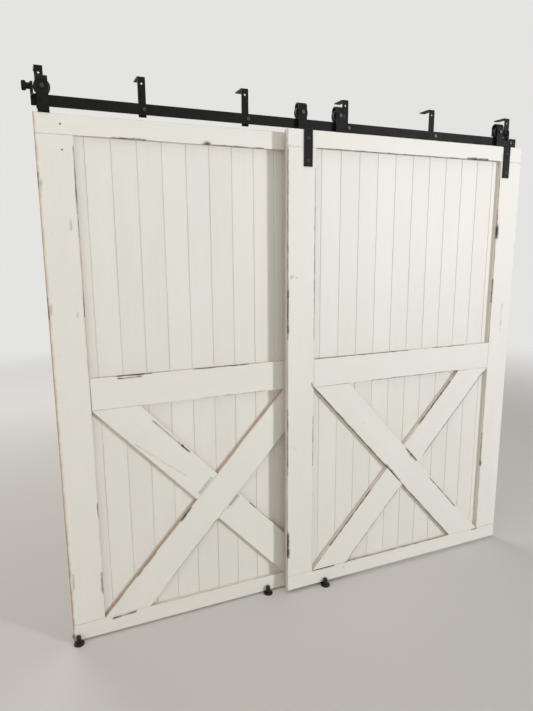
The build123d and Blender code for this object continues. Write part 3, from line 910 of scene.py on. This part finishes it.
    def pierce(self, made: Object, place: tuple[float, float]) -> None:
        """Cuts a round hole through the board, with bare wood inside it.

        Args:
            made: the board's object.
            place: the hole's place, in millimetres from the door's lower left corner.
        """
        turn = np.linspace(0, 2 * np.pi, self.hole_sides, endpoint=False)
        middle = np.array(place) * MM + self.origin
        ends = self.front + np.array([-self.thickness, 2 * self.thickness])
        ring = middle + SPARE_HOLE_RADIUS * np.stack([np.cos(turn), np.sin(turn)], axis=1)
        places = np.concatenate([np.insert(ring, 1, end, axis=1) for end in ends])
        near = np.arange(self.hole_sides)
        following = np.roll(near, -1)
        far, far_following = near + self.hole_sides, following + self.hole_sides
        walls = np.stack([far, far_following, following, near], axis=1)
        mesh = bpy.data.meshes.new("hole")
        mesh.from_pydata(places, [], [*walls.tolist(), near.tolist(), far[::-1].tolist()])
        for mark in MARKS:
            set_mark(mesh, mark, np.full(len(places), 1.0 if mark == "side" else 0.0))
        cutter = add_object("hole", mesh)
        cut = made.modifiers.new("hole", "BOOLEAN")
        cut.operation = "DIFFERENCE"
        cut.solver = "EXACT"
        cut.object = cutter
        whole = made.data
        pierced = made.evaluated_get(bpy.context.evaluated_depsgraph_get())
        made.data = bpy.data.meshes.new_from_object(pierced)
        made.modifiers.clear()
        made.data.name = whole.name
        bpy.data.objects.remove(cutter)
        bpy.data.meshes.remove(mesh)
        bpy.data.meshes.remove(whole)


@dataclass
class Door:
    """The woodwork of one door: its frame boards and its upright boards.

    Args:
        name: front or rear.
        lean: the way its long brace leans.
        rubs: board name to its rubbed stretches, some of them partly painted shade along a lower edge.
        bared: the same for stretches of pale bare wood.
        effects: the shared effects.
        bare_and_shaded_sides: board name to how bare its sides are; on the falling braces the brown sides
            partly stand for painted shade, the shadow along their lower-left edges.
        seed: the seed of its boards' unevenness.
        spare_holes: board name to its unused hole's place, in millimetres like a rub's.
        joint_wear: how dull the paint gets in the boards' joints, from 0 to 1.
        usual_bareness: how bare the other boards' sides are.
    """

    name: str
    lean: Lean
    rubs: Mapping[str, Sequence[Rub]]
    bared: Mapping[str, Sequence[Rub]]
    effects: Effects
    bare_and_shaded_sides: Mapping[str, float]
    seed: int
    spare_holes: Mapping[str, tuple[float, float]]
    joint_wear: float
    usual_bareness: float = 0.1

    def node(self, piece: str) -> str:
        """Returns the CAD node's name of a piece."""
        return f"{self.name}_{piece}"

    def rectangle(self, piece: str) -> np.ndarray:
        """Returns a straight board's corners from its CAD box."""
        low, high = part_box(self.node(piece))
        return np.array([(low.x, low.z), (high.x, low.z), (high.x, high.z), (low.x, high.z)])

    def brace(self, lean: Lean) -> np.ndarray:
        """Works out a whole brace: a strip with its long edges through opposite panel corners.

        Args:
            lean: the way it leans.

        Returns:
            Its corners.
        """
        low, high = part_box(self.node("long_brace"))
        wide, tall = high.x - low.x, high.z - low.z
        slope = atan2(tall, wide) + asin(BRACE_WIDTH / hypot(wide, tall))
        foot = BRACE_WIDTH / sin(slope)
        if lean is Lean.RISING:
            across = [(0, 0), (foot, 0), (wide, tall), (wide - foot, tall)]
        else:
            across = [(wide - foot, 0), (wide, 0), (foot, tall), (0, tall)]
        return np.array(across) + (low.x, low.z)

    def short_braces(self) -> tuple[np.ndarray, np.ndarray]:
        """Works out the short braces: the other brace less the long one.

        Returns:
            The upper one's corners and the lower one's.
        """
        rising = self.lean is Lean.RISING
        long_brace = self.brace(self.lean)
        other = self.brace(Lean.FALLING if rising else Lean.RISING)
        left, right = [0, 3], [1, 2]
        above, below = (left, right) if rising else (right, left)
        upper_cut, lower_cut = ([crossing(long_brace[side], other[edge]) for edge in (left, right)]
                                for side in (above, below))
        return np.array([*upper_cut, other[2], other[3]]), np.array([other[0], other[1], *lower_cut[::-1]])

    def frame_boards(self) -> dict[str, FrameBoard]:
        """Lays out the frame's boards, each with a seed of its own.

        Returns:
            Board name to board.
        """
        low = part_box(self.node("boards"))[0]
        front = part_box(self.node("top_rail"))[0].y
        straight = ("top_rail", "bottom_rail", "left_stile", "right_stile", "mid_rail")
        outlines = {piece: self.rectangle(piece) for piece in straight}
        outlines["long_brace"] = self.brace(self.lean)
        outlines["upper_brace"], outlines["lower_brace"] = self.short_braces()
        boards = {}
        for seed, (piece, corners) in enumerate(outlines.items(), self.seed):
            grain = Grain.LEVEL if piece.endswith("rail") else Grain.UPRIGHT
            bareness = self.bare_and_shaded_sides.get(piece, self.usual_bareness)
            boards[piece] = FrameBoard(
                self.node(piece), corners, front, low.y - front, grain, self.rubs.get(piece, ()),
                self.bared.get(piece, ()), bareness, (low.x, low.z), seed)
        return boards

    def build(self) -> None:
        """Builds the frame boards over their CAD nodes and paints the upright boards."""
        paint = TimberPaint(f"{self.name} frame paint", self.effects).material()
        for piece, board in self.frame_boards().items():
            made = board.build()
            if piece in self.spare_holes:
                board.pierce(made, self.spare_holes[piece])
            made.data.materials.append(paint)
            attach(made, f"{self.name}_door")
            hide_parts(board.node)
            log.info("%s: %d faces", made.name, len(made.data.polygons))
        low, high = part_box(self.node("boards"))
        whole_boards = floor((high.x - low.x) / BOARD_PITCH) - 1
        first = low.x + ((high.x - low.x) - whole_boards * BOARD_PITCH) / 2
        boards = BoardPaint(f"{self.name} board paint", self.effects, first, low.x, high.x, self.joint_wear)
        dress([self.node("boards")], boards.material())


# Where each door's paint is rubbed or worn to dark wood, as in the photo; the lines marked below, along the
# lower edges of the braces and the mid rail, are partly painted shade, the shadow under those boards
REAR_RUBS_AND_SHADE = {
    "top_rail": rub_rows(
        (0, 2062, 0, 2134, 2, 0.4), (270, 2062, 402, 2062, 6, 0.75), (627, 2062, 899, 2062, 4, 0.65),
        (640, 2066, 661, 2066, 9, 0.95)),
    "left_stile": rub_rows(
        (132, 1697, 132, 2024, 4, 0.64), (132, 1800, 132, 1930, 4.5, 0.85), (133, 1390, 133, 1499, 4, 0.9),
        (130, 193, 131, 293, 7, 0.62), (133, 545, 133, 607, 5, 0.8), (0, 1867, 0, 1923, 5, 0.8),
        (0, 1386, 0, 1470, 5, 0.8), (0, 0, 0, 2060, 2, 0.32), (13, 235, 16, 310, 7, 0.4),
        (11, 1907, 9, 1864, 7, 0.35), (106, 1758, 103, 1722, 8, 0.35), (111, 1479, 111, 1473, 8, 0.3),
        (106, 1407, 105, 1388, 8, 0.3), (12, 1442, 8, 1405, 8, 0.4), (24, 1244, 30, 1240, 10, 0.25),
        (33, 1714, 36, 1708, 8, 0.2)),
    # Partly rubbed paint, partly painted shade: the level line along the mid rail's lower edge, from 591 to
    # 911 at height 1008, stands for the shadow under the rail
    "mid_rail": rub_rows(
        (241, 1142, 385, 1142, 4.5, 1.0), (243, 1131, 340, 1132, 3, 0.8), (561, 1142, 822, 1142, 4, 0.8),
        (133, 1142, 1187, 1142, 2, 0.4), (133, 1008, 133, 1142, 3, 0.8), (591, 1008, 911, 1008, 4, 0.5)),
    # Partly rubbed paint, partly painted shade: the line along the brace's lower-right edge, from (400,
    # 151) to (653, 427), stands for the shadow under the brace
    "long_brace": rub_rows(
        (400, 151, 653, 427, 4, 0.7), (481, 454, 532, 510, 7, 0.85), (279, 234, 369, 331, 4, 0.5)),
    "upper_brace": rub_rows(
        (377, 936, 537, 769, 6, 0.45), (498, 810, 531, 774, 4.5, 1.1), (575, 572, 628, 632, 13, 0.42),
        (294, 845, 518, 660, 5, 0.3)),
    "lower_brace": rub_rows(
        (757, 530, 705, 473, 11, 0.5), (768, 463, 771, 459, 6, 0.3), (815, 480, 845, 447, 5, 0.95),
        (846, 445, 925, 360, 3, 0.5)),
    "bottom_rail": rub_rows((165, 63, 262, 68, 5, 0.85), (225, 67, 264, 69, 5.5, 0.95)),
}

# Where the rear door's paint is worn to pale wood
REAR_BARED = {
    "left_stile": rub_rows((0, 0, 0, 2062, 6, 1.0), (133, 1150, 133, 1700, 4, 0.9)),
    "top_rail": rub_rows((0, 2062, 0, 2134, 5, 0.9)),
    "bottom_rail": rub_rows((0, 0, 0, 75, 6, 1.0)),
}

FRONT_RUBS_AND_SHADE = {
    "top_rail": rub_rows(
        (139, 2062, 1174, 2062, 3, 0.7), (970, 2064, 1099, 2064, 8, 0.85), (8, 2064, 8, 2067, 6, 0.5)),
    "left_stile": rub_rows(
        (0, 1240, 0, 2050, 3, 0.6), (0, 1263, 0, 1471, 4.5, 0.85), (0, 595, 0, 920, 3, 0.6),
        (0, 177, 0, 302, 9, 1.0), (14, 1514, 23, 1521, 7, 0.5), (38, 1517, 44, 1512, 6, 0.42),
        (26, 734, 52, 706, 8, 0.24), (115, 240, 115, 237, 4, 0.35), (121, 1031, 129, 1006, 5, 0.7),
        (132, 1226, 132, 1981, 3, 0.72), (132, 1387, 132, 1815, 3.5, 0.88), (132, 624, 132, 872, 3.5, 0.85),
        (133, 106, 133, 624, 2.5, 0.45)),
    "right_stile": rub_rows(
        (1187, 1687, 1187, 1832, 4, 0.6), (1190, 1687, 1190, 1750, 12, 0.95),
        (1187, 1353, 1187, 1478, 4, 0.7), (1187, 448, 1187, 640, 3, 0.55), (1188, 448, 1188, 470, 8, 0.9),
        (1262, 1194, 1262, 1350, 6, 0.3), (1310, 2062, 1320, 2062, 3, 0.8)),
    # Partly rubbed paint, partly painted shade: the level lines along the mid rail's lower edge, at height
    # 1008, stand for the shadow under the rail
    "mid_rail": rub_rows(
        (133, 1142, 663, 1142, 3, 0.75), (812, 1142, 1020, 1142, 3, 0.65), (449, 1008, 984, 1008, 4, 0.85),
        (133, 1008, 447, 1008, 2, 0.4)),
    # Partly rubbed paint, partly painted shade: the lines along the brace's lower-left edge, from (133,
    # 1008) to (546, 558) and from (641, 455) to (985, 80), stand for the shadow that the brace casts there
    "long_brace": rub_rows(
        (133, 1008, 546, 558, 5, 0.8), (548, 556, 636, 460, 11, 1.0), (641, 455, 985, 80, 4, 0.75),
        (679, 628, 744, 557, 11, 0.95), (836, 440, 1023, 240, 3.5, 0.8), (270, 913, 271, 911, 6, 0.35),
        (412, 800, 415, 797, 6, 0.35)),
    # Partly rubbed paint, partly painted shade: the line along the brace's lower-right edge, from (1161,
    # 982) to (784, 571), stands for the shadow under the brace
    "upper_brace": rub_rows(
        (943, 957, 750, 747, 4, 0.75), (1161, 982, 784, 571, 5, 0.8), (783, 661, 787, 660, 5, 0.4)),
    # Partly rubbed paint, partly painted shade: the line along the brace's lower-right edge, from (342, 90)
    # to (642, 417), stands for the shadow under the brace
    "lower_brace": rub_rows(
        (233, 184, 468, 440, 3, 0.7), (342, 90, 642, 417, 4.5, 0.66), (437, 345, 440, 344, 5, 0.35)),
    "bottom_rail": rub_rows(
        (321, 75, 983, 75, 3, 0.6), (140, 75, 258, 75, 7, 1.0), (320, 73, 332, 73, 6, 0.7),
        (310, 50, 318, 48, 8, 0.4), (1155, 70, 1196, 70, 6, 0.6)),
}


@dataclass
class Hardware:
    """The rail, its brackets and stops, the hangers, wheels and floor guides.

    Args:
        effects: the shared effects.
    """

    effects: Effects

    def build(self) -> None:
        """Gives each group of CAD nodes its finish."""
        finish = partial(HardwareFinish, effects=self.effects)
        finishes = {
            "black_steel": finish("black powder coat"),
            "fasteners": finish("blackened steel", colour=(0.014, 0.014, 0.014, 1), roughness=0.38,
                                specular=0.45),
            "wheel": finish("black nylon", colour=(0.012, 0.012, 0.012, 1), roughness=0.42, specular=0.35,
                            peel=0.05),
            "rubber": finish("black rubber", colour=(0.008, 0.008, 0.008, 1), roughness=0.65, peel=0.4),
            "guide": finish("moulded guide", colour=(0.01, 0.01, 0.01, 1), roughness=0.45, specular=0.3,
                            peel=0.1),
            "bearing": finish("ground steel", colour=(0.45, 0.45, 0.46, 1), dust=(0.3, 0.29, 0.27, 1),
                              roughness=0.3, metallic=1.0, specular=0.5, peel=0.05),
        }
        slots = {entry["node"]: entry["material_slot"] for entry in frame["record"]["subparts"]}
        for slot, look in finishes.items():
            nodes = [node for node, own in slots.items() if own == slot]
            dress(nodes, look.material())
            log.info("%s: %d nodes", look.name, len(nodes))


@dataclass(frozen=True)
class Lamp:
    """A square lamp that shines at the object's middle.

    Args:
        name: the lamp's name.
        offset: its place from the object's middle, in metres.
        size: its side in metres.
        power: its power in watts.
        colour: its light's colour.
    """

    name: str
    offset: tuple[float, float, float]
    size: float
    power: float
    colour: tuple[float, float, float]

    def build(self, middle: Vector) -> None:
        """Hangs the lamp and turns it to the middle.

        Args:
            middle: the object's middle.
        """
        data = bpy.data.lights.new(self.name, "AREA")
        data.size = self.size
        data.energy = self.power
        data.color = self.colour
        lamp = add_object(self.name, data)
        lamp.location = middle + Vector(self.offset)
        lamp.rotation_euler = Vector(self.offset).to_track_quat("Z", "Y").to_euler()


@dataclass(frozen=True)
class Studio:
    """The floor, the lamps, the surroundings and the camera.

    Args:
        camera_place: the camera's place in metres.
        yaw: how far it looks to the right of +Y.
        pitch: how far it looks down.
        roll: how far it is rolled.
        lens: its focal length in millimetres.
        sensor: its sensor's height in millimetres.
        floor_reach: half the floor's side in metres.
        floor_fade: where the floor starts and ends to fade away.
        floor_colour: the floor's colour.
        floor_roughness: its roughness.
        spot_colour: the colour that its spots go towards.
        spot_share: how far they go at most.
        world_colour: the surroundings as they look.
        room_colour: the colour of their light.
        room_light: how strong that light is.
        lean_left: how much stronger it is from the left.
        lamps: the lamps.
    """

    camera_place: tuple[float, float, float] = (-1.4056, -2.3537, -0.6565)
    yaw: float = radians(23.546)
    pitch: float = radians(10.823)
    roll: float = radians(-0.357)
    lens: float = 28.29
    sensor: float = 36.0
    floor_reach: float = 40.0
    floor_fade: tuple[float, float] = (2.6, 8.0)
    floor_colour: Colour = (0.66, 0.645, 0.62, 1)
    floor_roughness: float = 0.85
    spot_colour: Colour = (0.5, 0.48, 0.46, 1)
    spot_share: float = 0.06
    world_colour: Colour = (0.78, 0.775, 0.765, 1)
    room_colour: Colour = (0.81, 0.76, 0.68, 1)
    room_light: float = 0.34
    lean_left: float = 0.9
    lamps: tuple[Lamp, ...] = (
        Lamp("key", (6.4, -7.6, 1.2), 1.0, 540, (0.93, 0.97, 1.0)),
        Lamp("fill", (-4.6, -3.7, 1.6), 7.0, 115, (1.0, 0.95, 0.87)),
        Lamp("top", (0.2, -1.5, 4.2), 4.0, 50, (1.0, 0.99, 0.97)),
        Lamp("back", (-1.5, 5.0, 2.5), 4.0, 150, (1.0, 1.0, 1.0)),
    )

    def build(self) -> None:
        """Builds them all."""
        self._camera()
        self._floor()
        low, high = CAD_BOUNDS
        for lamp in self.lamps:
            lamp.build((Vector(low) + Vector(high)) / 2)
        self._world()

    def _camera(self) -> None:
        """Makes the camera, which looks to the right and down with a slight roll."""
        data = bpy.data.cameras.new("camera")
        data.sensor_fit = "VERTICAL"
        data.sensor_height = self.sensor
        data.lens = self.lens
        data.clip_end = 100
        camera = add_object("camera", data)
        level = cos(self.pitch)
        forward = Vector((sin(self.yaw) * level, cos(self.yaw) * level, -sin(self.pitch)))
        right = Vector((cos(self.yaw), -sin(self.yaw), 0))
        up = right.cross(forward)
        turned_right = cos(self.roll) * right + sin(self.roll) * up
        turned_up = cos(self.roll) * up - sin(self.roll) * right
        turn = Matrix((turned_right, turned_up, -forward)).transposed().to_4x4()
        camera.matrix_world = Matrix.Translation(self.camera_place) @ turn
        bpy.context.scene.camera = camera

    def _floor(self) -> None:
        """Makes a wide floor that fades into the surroundings."""
        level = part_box("floor_guide_front")[0].z
        mesh = bpy.data.meshes.new("floor")
        corners = [(x * self.floor_reach, y * self.floor_reach, level)
                   for x, y in ((-1, -1), (1, -1), (1, 1), (-1, 1))]
        mesh.from_pydata(corners, [], [(0, 1, 2, 3)])
        desk = MaterialDesk("pale floor")
        place = desk.add("TexCoord").outputs["Object"]
        spots = desk.stretch(desk.noise(place, 3.0), 0, 1, 0.0, self.spot_share)
        desk.feed(desk.shader.inputs["Base Color"], desk.blend(spots, self.floor_colour, self.spot_colour))
        desk.shader.inputs["Roughness"].default_value = self.floor_roughness
        far = desk.add("VectorMath", {0: place, 1: (0, 0, level)}, operation="DISTANCE").outputs["Value"]
        glow = desk.add("Emission", {"Color": self.world_colour, "Strength": 1.0}).outputs["Emission"]
        fade = desk.band(far, *self.floor_fade)
        mix = desk.add("MixShader", {0: fade, 1: desk.shader.outputs["BSDF"], 2: glow})
        desk.feed(desk.surface, mix.outputs["Shader"])
        mesh.materials.append(desk.material)
        add_object("floor", mesh)

    def _world(self) -> None:
        """Makes pale surroundings that light the object more gently than they look."""
        world = bpy.data.worlds.new("surroundings")
        bpy.context.scene.world = world
        world.use_nodes = True
        world.node_tree.nodes.clear()
        desk = NodeDesk(world.node_tree)
        rays = desk.add("LightPath").outputs
        mirrored = desk.sum("MAXIMUM", rays["Is Glossy Ray"], rays["Is Transmission Ray"])
        seen = desk.sum("MAXIMUM", rays["Is Camera Ray"], mirrored)
        way = desk.add("TexCoord").outputs["Generated"]
        rightwards = desk.add("SeparateXYZ", {"Vector": way}).outputs["X"]
        brighter, dimmer = self.room_light * (1 + self.lean_left), self.room_light * (1 - self.lean_left)
        unseen = desk.stretch(rightwards, -1, 1, brighter, dimmer)
        strength = desk.add("Mix", {0: seen, 2: unseen, 3: 1.0}).outputs[0]
        tint = desk.blend(seen, self.room_colour, self.world_colour)
        background = desk.add("Background", {"Color": tint, "Strength": strength})
        output = desk.add("OutputWorld")
        desk.feed(output.inputs["Surface"], background.outputs["Background"])


def main() -> None:
    """Builds the doors, the hardware and the studio, in that order."""
    logging.basicConfig(level=logging.INFO, format="%(name)s: %(message)s")
    bpy.context.scene.view_settings.view_transform = "Standard"
    effects = Effects()
    # Painted shade: the brown sides of the falling braces, the rear door's upper and lower brace and the
    # front door's long brace, partly stand for the shadow along their lower-left edges; the other bare
    # sides are worn wood
    Door("rear", Lean.RISING, REAR_RUBS_AND_SHADE, REAR_BARED, effects,
         bare_and_shaded_sides={"long_brace": 0.9, "upper_brace": 0.7, "lower_brace": 0.7, "left_stile": 0.65},
         seed=11, spare_holes={"top_rail": (91, 2098), "left_stile": (91, 2008)}, joint_wear=0.2).build()
    Door("front", Lean.FALLING, FRONT_RUBS_AND_SHADE, {}, effects, bare_and_shaded_sides={"long_brace": 0.5, "left_stile": 0.28},
         seed=41, spare_holes={}, joint_wear=0.03).build()
    Hardware(effects).build()
    Studio().build()


if __name__ == "__main__":
    main()
